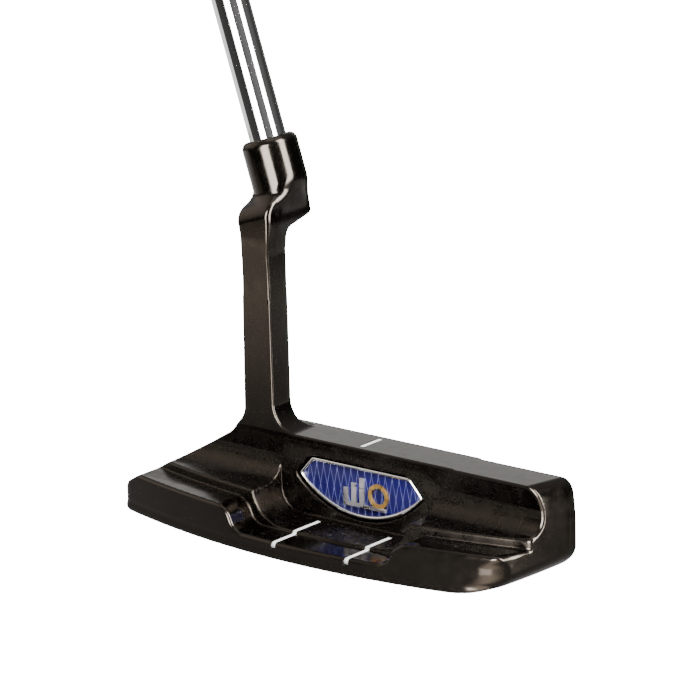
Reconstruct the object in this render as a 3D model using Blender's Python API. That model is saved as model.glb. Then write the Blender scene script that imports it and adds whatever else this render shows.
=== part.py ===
"""Blade putter: a cast blade head with a plumber's neck, its badge, face insert and paint lines,
a stepped steel shaft and a rubber grip.

Frame: metres, +Z up. X runs from heel (-) to toe (+) with x = 0 at the sight line, and Y runs from
the rear flange (-) to the striking face (+). The origin is on the flat sole, FACE_Y behind the face.
"""

import math

import bmesh
import bpy
from mathutils import Matrix, Vector

MM = 0.001
GAP = 0.3 * MM                       # clearance between neighbouring pieces

# Blade
FACE_Y = 15.0 * MM                   # striking face plane
TOPLINE_Z = 26.1 * MM                # height of the flat topline
TOPLINE_WIDTH = 11.9 * MM
BAND_FOOT_Z = 20.0 * MM              # lower edge of the flat band under the topline
BAND_UNDERCUT = 1.46 * MM            # how far the band slopes in below the topline
LEDGE_Z = 13.2 * MM
FLANGE_Z = 10.75 * MM                # top of the heel and toe bumpers
INNER_FLOOR_Z = 5.3 * MM
OUTER_FLOOR_Z = 4.6 * MM
REAR_Y = FACE_Y - 31.7 * MM          # rearmost point of the flange
LIP_Y = FACE_Y - 23.2 * MM           # rearmost point of the ledge lip
BOW_CENTRE_X = -5.5 * MM             # the rear curves are symmetric about this
BOW_RADIUS = 208.0 * MM
SCOOP_RADIUS = 5.4 * MM
TOE_X = 59.5 * MM
HEEL_X = -70.3 * MM
TOE_SOLE_RADIUS = 12.9 * MM          # at the face; it shrinks towards the rear
TOE_REAR_RADIUS = 10.2 * MM
HEEL_SOLE_RADIUS = 4.0 * MM
TOE_SWEEP = 0.27                     # how far the toe end runs in per unit of depth
SHOULDER_X = -36.6 * MM              # where the heel shoulder starts down
SHOULDER_SLOPE = 0.588

# Cavity between the bumpers
CAVITY_X = -1.1 * MM
CAVITY_HALF = 24.7 * MM
CAVITY_FOOT_RADIUS = 8.0 * MM
DIP_TOP_HALF = 29.0 * MM
DIP_FOOT_HALF = 21.8 * MM

# Neck and hosel
NECK_X = (-36.45 * MM, -26.6 * MM)
NECK_Y = (FACE_Y - 11.9 * MM, FACE_Y - 4.6 * MM)
NECK_TAPER = 0.45 * MM
NECK_FILLETS = (6.0 * MM, 6.5 * MM)  # heel side, toe side
ELBOW_Z = 77.7 * MM                  # underside of the elbow at the neck's front
ELBOW_SLOPE = math.radians(14.0)     # its underside rises towards the front
ELBOW_TOE_X = -26.1 * MM             # its flat toe side, which also trims the hosel
SHELF_Z = 81.6 * MM                  # top of the elbow at its rear heel corner
SHELF_SLOPE = 0.42                   # the top rises towards the front
SHELF_TILT = 0.29                    # and towards the toe
LIE = math.radians(71.8)
AXIS_POINT = Vector((-33.8 * MM, FACE_Y - 1.7 * MM, 96.1 * MM))
AXIS = Vector((-math.cos(LIE), 0.0, math.sin(LIE)))
HOSEL_RADIUS = 7.15 * MM
HOSEL_TOP = 3.4 * MM                 # along the axis from AXIS_POINT
HOSEL_RIM_RADIUS = 2.2 * MM
BORE_BOTTOM = -7.5 * MM
BORE_RADIUS = 5.6 * MM

# Shaft and grip, measured along the axis
SHAFT_TIP = BORE_BOTTOM + GAP
SHAFT_TIP_RADIUS = 4.7 * MM
SHAFT_BUTT_RADIUS = 7.5 * MM
SHAFT_WALL = 1.0 * MM
CLUB_LENGTH = 889.0 * MM
SHAFT_STEPS = 11
FIRST_STEP = 190.0 * MM
STEP_PITCH = 33.0 * MM
GRIP_LENGTH = 265.0 * MM
TAPE_THICKNESS = 0.4 * MM
CAP_THICKNESS = 4.0 * MM
CAP_SIZE = (27.4, 28.4, 4.2)         # width, depth and belly in mm, as in GRIP_SHAPE
VENT_RADIUS = 1.5 * MM
GRIP_POINTS = 32
GRIP_SHAPE = {                       # mm above the grip's mouth: (width, depth, belly)
    0.0: (20.0, 22.0, 0.0),
    12.0: (21.0, 23.0, 0.0),
    70.0: (22.5, 24.0, 0.3),
    130.0: (24.0, 25.0, 0.8),
    180.0: (25.5, 26.5, 2.0),
    215.0: (27.0, 28.0, 3.6),
    240.0: (28.0, 29.0, 4.4),
    251.0: (28.0, 29.0, 4.4),
}

# Badge and face insert
PANEL_Y = FACE_Y - 11.0 * MM
BADGE_TOP_Z = 20.85 * MM
BADGE_TOP_HALF = 15.7 * MM
BADGE_SHOULDER_Z = 16.0 * MM
BADGE_HALF = 19.9 * MM
BADGE_FOOT_Z = 7.3 * MM
BADGE_POCKET_DEPTH = 2.6 * MM
BADGE_PLATE_THICKNESS = 0.8 * MM
BEZEL_WIDTH = 1.0 * MM
INSERT_WIDTH = 84.0 * MM
INSERT_HEIGHT = 17.0 * MM
INSERT_Z = 13.0 * MM
INSERT_POCKET_DEPTH = 4.6 * MM
INSERT_THICKNESS = 3.4 * MM
LINE_WIDTH = 1.3 * MM
LINE_DEPTH = 0.6 * MM
FLANGE_LINE_X = 11.4 * MM


def clear_scene():
    for item in list(bpy.data.objects):
        bpy.data.objects.remove(item)


def material(name, colour, roughness, metallic):
    made = bpy.data.materials.new(name)
    made.use_nodes = True
    shader = made.node_tree.nodes["Principled BSDF"]
    shader.inputs["Base Color"].default_value = (*colour, 1.0)
    shader.inputs["Roughness"].default_value = roughness
    shader.inputs["Metallic"].default_value = metallic
    return made


def add_object(name, bm, look=None, sharp_angle=35.0):
    bmesh.ops.recalc_face_normals(bm, faces=bm.faces)
    mesh = bpy.data.meshes.new(name)
    bm.to_mesh(mesh)
    bm.free()
    mesh.shade_smooth()
    mesh.set_sharp_from_angle(angle=math.radians(sharp_angle))
    made = bpy.data.objects.new(name, mesh)
    bpy.context.collection.objects.link(made)
    if look is not None:
        mesh.materials.append(look)
    return made


def add_cutter(name, bm):
    cutter = add_object(name, bm)
    cutter.hide_render = True
    cutter.display_type = "WIRE"
    return cutter


def combine(target, tool, operation):
    step = target.modifiers.new(f"{operation}_{tool.name}", "BOOLEAN")
    step.operation = operation
    step.solver = "EXACT"
    step.object = tool


def loft(loops):
    """A closed solid through loops of equal length, capped at both ends."""
    bm = bmesh.new()
    rings = [[bm.verts.new(point) for point in loop] for loop in loops]
    for lower, upper in zip(rings, rings[1:]):
        for i in range(len(lower)):
            j = (i + 1) % len(lower)
            bm.faces.new((lower[i], lower[j], upper[j], upper[i]))
    bm.faces.new(rings[0])
    bm.faces.new(reversed(rings[-1]))
    return bm


def turned(profile, segments=32):
    """A closed (radius, height) profile turned around the local Z axis."""
    bm = bmesh.new()
    rings = []
    for k in range(segments):
        turn = 2.0 * math.pi * k / segments
        rings.append([bm.verts.new((r * math.cos(turn), r * math.sin(turn), h)) for r, h in profile])
    for k in range(segments):
        ring, following = rings[k], rings[(k + 1) % segments]
        for i in range(len(profile)):
            j = (i + 1) % len(profile)
            bm.faces.new((ring[i], ring[j], following[j], following[i]))
    bmesh.ops.remove_doubles(bm, verts=bm.verts, dist=0.001 * MM)
    return bm


def round_cutter(name, radius, bottom, top, segments=32):
    """A cylinder on the shaft axis, for cutting a round hole."""
    bm = turned([(0.0, top), (radius, top), (radius, bottom), (0.0, bottom)], segments)
    bm.transform(axis_frame(0.0))
    return add_cutter(name, bm)


def arc(centre, radius, start, end, count):
    """Points on an arc in a plane, from the start angle to the end angle, in degrees."""
    points = []
    for k in range(count):
        angle = math.radians(start + (end - start) * k / (count - 1))
        points.append((centre[0] + radius * math.cos(angle), centre[1] + radius * math.sin(angle)))
    return points


def smooth(t):
    t = min(max(t, 0.0), 1.0)
    return t * t * (3.0 - 2.0 * t)


def mix(a, b, t):
    return a + (b - a) * t


def axis_frame(distance):
    """A frame on the shaft axis: local Z along the shaft, local X towards the toe."""
    side = Vector((math.sin(LIE), 0.0, math.cos(LIE)))
    across = AXIS.cross(side)
    frame = Matrix((side, across, AXIS)).transposed().to_4x4()
    return Matrix.Translation(AXIS_POINT + AXIS * distance) @ frame


# ---- blade ----------------------------------------------------------------------------------------

def bow(x):
    """How far the rear curves have come forward at x."""
    return BOW_RADIUS - math.sqrt(BOW_RADIUS**2 - (x - BOW_CENTRE_X) ** 2)


def scoop(band_foot, ledge, lip, radius):
    """The hollow under the band as points in Y and Z. It stops short where the lip cuts it off."""
    centre = (band_foot - radius, ledge + radius)
    reach = min(max((lip + 0.6 * MM - centre[0]) / radius, 0.0), 1.0)
    return arc(centre, radius, 0.0, -math.degrees(math.acos(reach)), 6)


def cavity_height(x):
    """Height of the cavity's side wall and its foot fillet at x, and of the ledge beyond it."""
    inside = CAVITY_HALF - abs(x - CAVITY_X)
    if inside <= 0.0:
        return LEDGE_Z
    reach = min(inside, CAVITY_FOOT_RADIUS)
    rise = CAVITY_FOOT_RADIUS - math.sqrt(CAVITY_FOOT_RADIUS**2 - (CAVITY_FOOT_RADIUS - reach) ** 2)
    return min(INNER_FLOOR_Z + rise, LEDGE_Z)


def flange_height(x):
    across = abs(x - CAVITY_X)
    rise = smooth((across - DIP_FOOT_HALF) / (DIP_TOP_HALF - DIP_FOOT_HALF))
    return mix(OUTER_FLOOR_Z, FLANGE_Z, rise)


def blade_section(x):
    """The blade's closed outline at x, from the face edge over the top and down the back."""
    lip = LIP_Y + bow(x)
    rear = REAR_Y + bow(x)
    top = TOPLINE_Z
    band_top = FACE_Y - TOPLINE_WIDTH
    band_foot = band_top + BAND_UNDERCUT
    flange = flange_height(x)
    ledge = cavity_height(x)
    cut = smooth((LEDGE_Z - ledge) / (0.25 * (LEDGE_Z - INNER_FLOOR_Z)))
    hollow = scoop(band_foot, ledge, lip, mix(SCOOP_RADIUS, 0.8 * MM, cut))
    lip_z = hollow[-1][1]
    points = [
        (FACE_Y, top - 0.6 * MM),
        (FACE_Y - 0.6 * MM, top),
        (band_top + 0.4 * MM, top),
        (band_top, top - 0.4 * MM),
        (band_foot, BAND_FOOT_Z),
    ]
    points += hollow
    points += [
        (lip + 0.25 * MM, lip_z - 0.05 * MM),
        (lip, lip_z - 0.5 * MM),
        (lip - 0.05 * MM, flange + 0.1 * MM),
        (lip - 0.6 * MM, flange),
        (rear + 1.0 * MM, flange),
        (rear + 0.3 * MM, flange - 0.3 * MM),
        (rear, flange - 1.0 * MM),
        (rear, 1.0 * MM),
        (rear + 0.3 * MM, 0.3 * MM),
        (rear + 1.0 * MM, 0.0),
        (FACE_Y - 1.0 * MM, 0.0),
        (FACE_Y, 1.0 * MM),
    ]
    return [(x, y, z) for y, z in points]


def blade_stations():
    """Section places: coarse along the ends, fine through the cavity walls and the dip."""
    edges = [CAVITY_HALF + step * MM for step in (0.3, 0.05, -0.2, -0.8, -2.0, -3.6, -5.6, -8.0)]
    edges += [DIP_TOP_HALF, 0.5 * (DIP_TOP_HALF + CAVITY_HALF), DIP_FOOT_HALF - 2.0 * MM]
    inner = [CAVITY_X + side * edge for side in (-1.0, 1.0) for edge in edges]
    outer = [x * MM for x in (-76.0, -68.0, -60.0, -52.0, -44.0, -36.0, 34.0, 42.0, 50.0, 58.0, 64.0)]
    middle = [x * MM for x in (-10.0, -5.5, 0.0, 6.0, 11.0)]
    return sorted(inner + outer + middle)


def end_outline(y):
    """Heel shoulder, heel end, sole corners, toe end and topline as one outline in X and Z."""
    toe = TOE_X - TOE_SWEEP * (FACE_Y - y)
    sole = max(TOE_SOLE_RADIUS - 0.2 * (FACE_Y - y), TOE_REAR_RADIUS)
    margin = 6.0 * MM
    shoulder = [(SHOULDER_X, TOPLINE_Z), (SHOULDER_X, TOPLINE_Z + margin)]
    heel_top = TOPLINE_Z + SHOULDER_SLOPE * (HEEL_X + 2.0 * MM - SHOULDER_X)
    outline = arc((toe - sole, sole), sole, 0.0, -88.0, 8)
    outline += [(toe - sole, -margin), (HEEL_X + HEEL_SOLE_RADIUS, -margin)]
    outline += arc((HEEL_X + HEEL_SOLE_RADIUS, HEEL_SOLE_RADIUS), HEEL_SOLE_RADIUS, 260.0, 180.0, 5)
    outline += [(HEEL_X, heel_top - 2.0 * MM), (HEEL_X + 2.0 * MM, heel_top)]
    outline += shoulder
    outline += [(toe - 1.2 * MM, TOPLINE_Z + margin), (toe - 1.2 * MM, TOPLINE_Z - 1.2 * MM)]
    outline.append((toe, TOPLINE_Z - 3.2 * MM))
    return [(x, y, z) for x, z in outline]


def make_blade():
    bm = loft([blade_section(x) for x in blade_stations()])
    blade = add_object("head_casting", bm, material("black_nickel", (0.03, 0.028, 0.026), 0.22, 1.0))
    depths = (REAR_Y - 3.0 * MM, REAR_Y + 9.0 * MM, FACE_Y - 12.0 * MM, FACE_Y + 3.0 * MM)
    ends = add_cutter("blade_ends_guide", loft([end_outline(y) for y in depths]))
    combine(blade, ends, "INTERSECT")
    return blade


# ---- badge panel, neck, elbow and hosel -------------------------------------------------------------

def panel_outline():
    """The raised badge panel, in X and Z, from its lower left corner."""
    half = CAVITY_HALF - 1.1 * MM
    left, right = CAVITY_X - half, CAVITY_X + half
    low, high = INNER_FLOOR_Z - 1.0 * MM, 21.9 * MM
    corner = 3.0 * MM
    points = [(left + 3.4 * MM, low), (left + 1.0 * MM, 7.6 * MM), (left, 10.2 * MM)]
    points += arc((left + corner, high - corner), corner, 180.0, 90.0, 5)
    points += arc((right - corner, high - corner), corner, 90.0, 0.0, 5)
    points += [(right, 10.2 * MM), (right - 1.0 * MM, 7.6 * MM), (right - 3.4 * MM, low)]
    return points


def add_panel(head):
    outline = panel_outline()
    bm = loft([[(x, y, z) for x, z in outline] for y in (PANEL_Y, PANEL_Y + 2.0 * MM)])
    combine(head, add_cutter("badge_panel_guide", bm), "UNION")


def neck_section(z, rear, spread_heel, spread_toe, round_off=0.6 * MM):
    taper = NECK_TAPER * (z - TOPLINE_Z) / (50.0 * MM)
    left = NECK_X[0] + taper - spread_heel
    right = NECK_X[1] - taper + spread_toe
    front = NECK_Y[1]
    c = round_off
    return [
        (left + c, rear, z), (right - c, rear, z), (right, rear + c, z), (right, front - c, z),
        (right - c, front, z), (left + c, front, z), (left, front - c, z), (left, rear + c, z),
    ]


def make_neck():
    """The upright neck, with its fillets into the topline and the heel shoulder."""
    rear = NECK_Y[0]
    sections = [neck_section(21.0 * MM, rear + 2.0 * MM, 0.0, 0.0)]
    heel_fillet, toe_fillet = NECK_FILLETS
    for k in range(6):
        angle = 0.5 * math.pi * k / 5
        z = TOPLINE_Z - 0.2 * MM + toe_fillet * (1.0 - math.cos(angle))
        flare = 1.0 - math.sin(angle)
        sections.append(neck_section(z, rear, 0.45 * heel_fillet * flare, toe_fillet * flare))
    for z in (50.0 * MM, 70.0 * MM, ELBOW_Z - 0.8 * MM):
        sections.append(neck_section(z, rear, 0.0, 0.0))
    return add_cutter("neck_guide", loft(sections))


def make_elbow():
    """The block that carries the neck forward under the hosel."""
    rear, middle, front = NECK_Y[0] - 0.5 * MM, NECK_Y[1], FACE_Y + 1.5 * MM
    loops = []
    for side in (0, 1):
        rise = side * SHELF_TILT * (NECK_X[1] - NECK_X[0])
        shelf = SHELF_Z + rise
        profile = [
            (rear + 0.5 * MM, ELBOW_Z - 10.0 * MM), (rear, ELBOW_Z - 3.0 * MM), (rear, shelf - 2.6 * MM),
            (rear + 0.6 * MM, shelf - 0.9 * MM), (rear + 2.4 * MM, shelf + 0.7 * MM),
            (front - 2.0 * MM, shelf + SHELF_SLOPE * (front - 2.0 * MM - rear)),
            (front, shelf + 2.0 * MM), (front, ELBOW_Z + 3.0 * MM),
            (middle + 4.0 * MM, ELBOW_Z + 1.1 * MM), (middle - 0.1 * MM, ELBOW_Z),
            (middle - 0.1 * MM, ELBOW_Z - 10.0 * MM),
        ]
        loop = []
        for y, z in profile:
            spread = smooth((z - ELBOW_Z + 6.0 * MM) / (8.0 * MM))
            foot = NECK_X[side] + NECK_TAPER * (1 - 2 * side)
            edge = (NECK_X[0] - 0.9 * MM, ELBOW_TOE_X)[side]
            loop.append((mix(foot, edge, spread), y, z))
        loops.append(loop)
    return add_cutter("elbow_guide", loft(loops))


def make_hosel():
    """The round socket, cut off at the bottom by the sloping underside of the elbow."""
    rim = HOSEL_RIM_RADIUS
    profile = [(0.0, HOSEL_TOP)]
    profile += arc((HOSEL_RADIUS - rim, HOSEL_TOP - rim), rim, 90.0, 0.0, 5)
    profile += [(HOSEL_RADIUS, -24.0 * MM), (0.0, -24.0 * MM)]
    bm = turned(profile)
    bm.transform(axis_frame(0.0))
    hosel = add_cutter("hosel_guide", bm)
    under = bmesh.new()
    block = 60.0 * MM
    bmesh.ops.create_cube(under, size=block)
    place = Matrix.Translation((NECK_X[0], NECK_Y[1], ELBOW_Z)) @ Matrix.Rotation(ELBOW_SLOPE, 4, "X")
    under.transform(place @ Matrix.Translation((0.0, 0.0, -0.5 * block)))
    combine(hosel, add_cutter("hosel_under_cutter", under), "DIFFERENCE")
    trim = [
        (ELBOW_TOE_X, ELBOW_Z - 20.0 * MM), (ELBOW_TOE_X + 20.0 * MM, ELBOW_Z - 20.0 * MM),
        (ELBOW_TOE_X + 20.0 * MM, ELBOW_Z + 16.0 * MM), (ELBOW_TOE_X + 3.6 * MM, ELBOW_Z + 16.0 * MM),
        (ELBOW_TOE_X + 1.1 * MM, ELBOW_Z + 10.5 * MM), (ELBOW_TOE_X, ELBOW_Z + 5.0 * MM),
    ]
    beside = plate(trim, -block, block)
    combine(hosel, add_cutter("hosel_toe_cutter", beside), "DIFFERENCE")
    return hosel


def cut_bore(head):
    cutter = round_cutter("bore_cutter", BORE_RADIUS, BORE_BOTTOM, HOSEL_TOP + 5.0 * MM)
    combine(head, cutter, "DIFFERENCE")


# ---- badge, insert and paint lines ------------------------------------------------------------------

def badge_outline(inset):
    """The badge outline in X and Z, moved in by inset: straight top, short shoulders, round foot."""
    top = BADGE_TOP_Z - inset
    side = BADGE_HALF - 1.15 * inset
    corner = BADGE_TOP_HALF - 0.6 * inset
    foot = BADGE_FOOT_Z + inset
    sagitta = BADGE_SHOULDER_Z - foot
    radius = (side**2 + sagitta**2) / (2.0 * sagitta)
    half_angle = math.degrees(math.asin(side / radius))
    points = [(corner, top), (-corner, top)]
    points += arc((0.0, foot + radius), radius, 270.0 - half_angle, 270.0 + half_angle, 17)
    return points


def plate(outline, y_near, y_far):
    return loft([[(x, y, z) for x, z in outline] for y in (y_near, y_far)])


def ring(outer, inner, y_near, y_far):
    """A flat frame between two outlines with the same number of points."""
    bm = bmesh.new()
    loops = []
    for outline, y in ((outer, y_near), (outer, y_far), (inner, y_far), (inner, y_near)):
        loops.append([bm.verts.new((x, y, z)) for x, z in outline])
    count = len(outer)
    for k in range(4):
        loop, following = loops[k], loops[(k + 1) % 4]
        for i in range(count):
            j = (i + 1) % count
            bm.faces.new((loop[i], loop[j], following[j], following[i]))
    return bm


def make_badge(head):
    floor = PANEL_Y + BADGE_POCKET_DEPTH
    pocket = plate(badge_outline(-0.55 * MM), PANEL_Y - 4.0 * MM, floor)
    combine(head, add_cutter("badge_pocket_cutter", pocket), "DIFFERENCE")
    adhesive_back = floor - GAP
    adhesive_front = adhesive_back - 0.4 * MM
    plate_back = adhesive_front - GAP
    plate_front = plate_back - BADGE_PLATE_THICKNESS
    bezel_front = PANEL_Y + 0.3 * MM
    foam = material("badge_foam_tape", (0.75, 0.74, 0.70), 0.5, 0.0)
    add_object("badge_adhesive", plate(badge_outline(0.4 * MM), adhesive_front, adhesive_back), foam)
    blue = material("blue_enamel", (0.02, 0.03, 0.42), 0.3, 0.2)
    add_object("badge_plate", plate(badge_outline(BEZEL_WIDTH + GAP), plate_front, plate_back), blue)
    chrome = material("bezel_chrome", (0.82, 0.83, 0.85), 0.08, 1.0)
    frame = ring(badge_outline(0.0), badge_outline(BEZEL_WIDTH), bezel_front, plate_back)
    add_object("badge_bezel", frame, chrome)
    make_emblem(plate_front - GAP)


def make_emblem(back):
    """A generic mark: three upright bars and a ring on a base rail, as one raised solid."""
    front = back - 0.25 * MM
    base, pitch, width = 10.2 * MM, 2.6 * MM, 1.6 * MM
    left, right = -5.5 * MM, 8.2 * MM
    rail = base + 1.0 * MM
    comb = [(right, base), (right, rail)]
    for k in (2, 1, 0):
        x = left + k * pitch
        bar_top = base + (4.6 + 1.6 * k) * MM
        comb += [(x + width, rail), (x + width, bar_top), (x, bar_top)]
        comb.append((x, rail) if k else (x, base))
    gold = material("emblem_gold", (0.62, 0.40, 0.12), 0.3, 1.0)
    emblem = add_object("badge_emblem", plate(comb, front, back), gold)
    centre = (5.6 * MM, rail + 2.9 * MM)
    circles = [arc(centre, radius * MM, 0.0, 348.75, 32) for radius in (3.2, 2.1)]
    combine(emblem, add_cutter("emblem_ring_guide", ring(*circles, front, back)), "UNION")


def insert_outline(grow):
    half_x = 0.5 * INSERT_WIDTH + grow
    half_z = 0.5 * INSERT_HEIGHT + grow
    corner = 4.0 * MM + grow
    points = []
    for sign_x, sign_z, start in ((1, 1, 0.0), (-1, 1, 90.0), (-1, -1, 180.0), (1, -1, 270.0)):
        centre = (sign_x * (half_x - corner), INSERT_Z + sign_z * (half_z - corner))
        points += arc(centre, corner, start, start + 90.0, 6)
    return points


def make_insert(head):
    floor = FACE_Y - INSERT_POCKET_DEPTH
    pocket = plate(insert_outline(GAP), floor, FACE_Y + 3.0 * MM)
    combine(head, add_cutter("insert_pocket_cutter", pocket), "DIFFERENCE")
    glue = material("insert_glue", (0.55, 0.50, 0.40), 0.6, 0.0)
    glue_back = floor + GAP
    glue_front = FACE_Y - INSERT_THICKNESS - GAP
    add_object("face_insert_adhesive", plate(insert_outline(-0.5 * MM), glue_back, glue_front), glue)
    black = material("insert_polymer", (0.02, 0.02, 0.022), 0.55, 0.0)
    add_object("face_insert", plate(insert_outline(0.0), FACE_Y - INSERT_THICKNESS, FACE_Y), black)


def strip(points, half_width, centre_x):
    """A flat polygon in Y and Z, made half_width thick on each side of centre_x."""
    return loft([[(x, y, z) for y, z in points] for x in (centre_x - half_width, centre_x + half_width)])


def topline_points(grow):
    """The topline's paint line, or with grow its groove, which opens above the surface."""
    front, back = FACE_Y - 2.1 * MM + grow, FACE_Y - 9.7 * MM - grow
    high = TOPLINE_Z + (3.0 * MM if grow else 0.0)
    low = TOPLINE_Z - LINE_DEPTH - grow
    return [(front, high), (back, high), (back, low), (front, low)]


def flange_points(x, grow):
    """The paint line from inside the cavity, over the floor step and the rear edge, as a polygon."""
    rear = REAR_Y + bow(x)
    step = LIP_Y + bow(x)
    inner_end = FACE_Y - 13.25 * MM + grow
    down = 3.1 * MM - grow
    lift = 3.0 * MM if grow else 0.0
    low = LINE_DEPTH + grow
    return [
        (inner_end, INNER_FLOOR_Z + lift), (step, INNER_FLOOR_Z + lift),
        (step - 0.3 * MM, OUTER_FLOOR_Z + lift), (rear + 0.8 * MM, OUTER_FLOOR_Z + lift),
        (rear - lift, OUTER_FLOOR_Z - 0.8 * MM + lift), (rear - lift, down),
        (rear + low, down), (rear + low, OUTER_FLOOR_Z - 1.0 * MM - low),
        (rear + low + 0.5 * MM, OUTER_FLOOR_Z - low), (step - 0.3 * MM + low, OUTER_FLOOR_Z - low),
        (step + low, INNER_FLOOR_Z - low), (inner_end, INNER_FLOOR_Z - low),
    ]


def make_lines(head):
    white = material("white_paint", (0.85, 0.85, 0.84), 0.4, 0.0)
    half = 0.5 * LINE_WIDTH
    groove = strip(topline_points(GAP), half + GAP, 0.0)
    combine(head, add_cutter("topline_groove_cutter", groove), "DIFFERENCE")
    add_object("topline_sight_line", strip(topline_points(0.0), half, 0.0), white)
    for name, x in (("heel", -FLANGE_LINE_X), ("toe", FLANGE_LINE_X)):
        groove = strip(flange_points(x, GAP), half + GAP, x)
        combine(head, add_cutter(f"flange_groove_{name}_cutter", groove), "DIFFERENCE")
        add_object(f"flange_sight_line_{name}", strip(flange_points(x, 0.0), half, x), white)


# ---- shaft and grip -----------------------------------------------------------------------------------

def club_top():
    """Distance along the axis from AXIS_POINT to the grip's butt, so that the club is CLUB_LENGTH long."""
    ground = AXIS_POINT.z / math.sin(LIE)
    return CLUB_LENGTH - ground


def shaft_profile():
    """The stepped tube's wall as one closed outline: out along the steps, back along the bore."""
    butt = club_top() - CAP_THICKNESS - GAP
    outer = [(SHAFT_TIP_RADIUS, SHAFT_TIP)]
    radius = SHAFT_TIP_RADIUS
    for k in range(SHAFT_STEPS):
        place = FIRST_STEP + k * STEP_PITCH
        grown = mix(SHAFT_TIP_RADIUS, SHAFT_BUTT_RADIUS, (k + 1) / SHAFT_STEPS)
        outer += [(radius, place), (grown, place + 0.8 * MM)]
        radius = grown
    outer.append((SHAFT_BUTT_RADIUS, butt))
    last_step = FIRST_STEP + STEP_PITCH * SHAFT_STEPS
    wide, narrow = SHAFT_BUTT_RADIUS - SHAFT_WALL, SHAFT_TIP_RADIUS - SHAFT_WALL
    return outer + [(wide, butt), (wide, last_step), (narrow, FIRST_STEP), (narrow, SHAFT_TIP)]


def make_shaft():
    chrome = material("shaft_chrome", (0.80, 0.81, 0.83), 0.06, 1.0)
    shaft = add_object("shaft", turned(shaft_profile()), chrome)
    shaft.matrix_world = axis_frame(0.0)
    inside, outside = SHAFT_TIP_RADIUS + GAP, BORE_RADIUS - GAP
    bottom, top = SHAFT_TIP, HOSEL_TOP - 1.0 * MM
    glue = turned([(inside, top), (outside, top), (outside, bottom), (inside, bottom)])
    epoxy = add_object("hosel_epoxy", glue, material("epoxy", (0.10, 0.09, 0.07), 0.4, 0.0))
    epoxy.matrix_world = axis_frame(0.0)


def grip_section(height, size):
    """One grip outline at a height on the axis: flat thumb side at +X, round back with a belly.

    size is the width, the depth without the belly, and how far the belly stands out, in mm."""
    width, depth, belly = (value * MM for value in size)
    points = []
    for k in range(GRIP_POINTS):
        turn = 2.0 * math.pi * k / GRIP_POINTS
        c, s = math.cos(turn), math.sin(turn)
        x = 0.5 * depth * math.copysign(abs(c) ** 0.9, c)
        y = 0.5 * width * math.copysign(abs(s) ** 0.8, s)
        x = min(x, 0.40 * depth)
        if c < 0.0:
            x -= belly * abs(c)
        points.append((x, y, height))
    return points


def make_grip():
    top = club_top()
    bottom = top - GRIP_LENGTH
    cap_base = top - CAP_THICKNESS
    sections = [grip_section(bottom + up * MM, size) for up, size in GRIP_SHAPE.items()]
    sections.append(grip_section(cap_base - GAP, CAP_SIZE))
    rubber = material("grip_rubber", (0.025, 0.025, 0.027), 0.75, 0.0)
    grip = add_object("grip", loft(sections), rubber)
    grip.matrix_world = axis_frame(0.0)
    bore = SHAFT_BUTT_RADIUS + TAPE_THICKNESS + 2.0 * GAP
    past = 5.0 * MM
    combine(grip, round_cutter("grip_bore_cutter", bore, bottom - past, top + past), "DIFFERENCE")
    inner = SHAFT_BUTT_RADIUS + GAP
    outer = inner + TAPE_THICKNESS
    ends = (bottom + 3.0 * MM, cap_base - 2.0 * GAP)
    band = turned([(inner, ends[1]), (outer, ends[1]), (outer, ends[0]), (inner, ends[0])])
    tape = add_object("grip_tape", band, material("grip_tape", (0.72, 0.66, 0.52), 0.8, 0.0))
    tape.matrix_world = axis_frame(0.0)
    make_cap(cap_base, top)


def make_cap(base, top):
    """The moulded cap in the grip's butt, with its vent hole."""
    sizes = {base: CAP_SIZE, top - 1.2 * MM: (26.6, 27.6, 4.0), top: (24.0, 25.0, 3.6)}
    sections = [grip_section(height, size) for height, size in sizes.items()]
    rubber = material("cap_rubber", (0.03, 0.03, 0.032), 0.6, 0.0)
    cap = add_object("grip_end_cap", loft(sections), rubber)
    cap.matrix_world = axis_frame(0.0)
    past = 2.0 * MM
    combine(cap, round_cutter("vent_cutter", VENT_RADIUS, base - past, top + past, 16), "DIFFERENCE")


def main():
    clear_scene()
    head = make_blade()
    add_panel(head)
    combine(head, make_neck(), "UNION")
    combine(head, make_elbow(), "UNION")
    combine(head, make_hosel(), "UNION")
    cut_bore(head)
    make_badge(head)
    make_insert(head)
    make_lines(head)
    make_shaft()
    make_grip()


main()
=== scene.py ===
"""The blade putter's looks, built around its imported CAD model.

The head is one casting with soft edges everywhere, so its shape is written as a distance formula
(head_distance) and turned into a mesh by surface_mesh. The other pieces are lofts, turned profiles
and plates. Lengths are millimetres until a mesh is made. X and Z are the frame's, and Y is measured
from the striking face, so everything behind the face has a negative Y.
"""
import math

import bmesh
import bpy
import numpy as np
from mathutils import Matrix, Vector


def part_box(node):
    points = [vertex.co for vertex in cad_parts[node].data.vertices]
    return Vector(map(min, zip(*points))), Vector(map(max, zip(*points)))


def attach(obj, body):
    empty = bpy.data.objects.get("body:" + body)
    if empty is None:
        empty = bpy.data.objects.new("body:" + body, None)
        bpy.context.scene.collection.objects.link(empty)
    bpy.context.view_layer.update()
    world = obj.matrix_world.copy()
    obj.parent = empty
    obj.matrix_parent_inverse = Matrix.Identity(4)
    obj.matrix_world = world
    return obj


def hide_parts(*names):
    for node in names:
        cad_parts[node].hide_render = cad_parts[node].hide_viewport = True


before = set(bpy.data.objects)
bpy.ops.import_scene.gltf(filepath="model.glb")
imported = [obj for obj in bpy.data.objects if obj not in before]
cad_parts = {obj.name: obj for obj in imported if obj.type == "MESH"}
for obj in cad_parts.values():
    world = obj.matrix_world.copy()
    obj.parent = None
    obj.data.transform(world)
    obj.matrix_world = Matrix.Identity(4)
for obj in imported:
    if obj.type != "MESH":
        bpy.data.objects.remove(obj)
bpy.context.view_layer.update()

MM = 0.001
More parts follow.
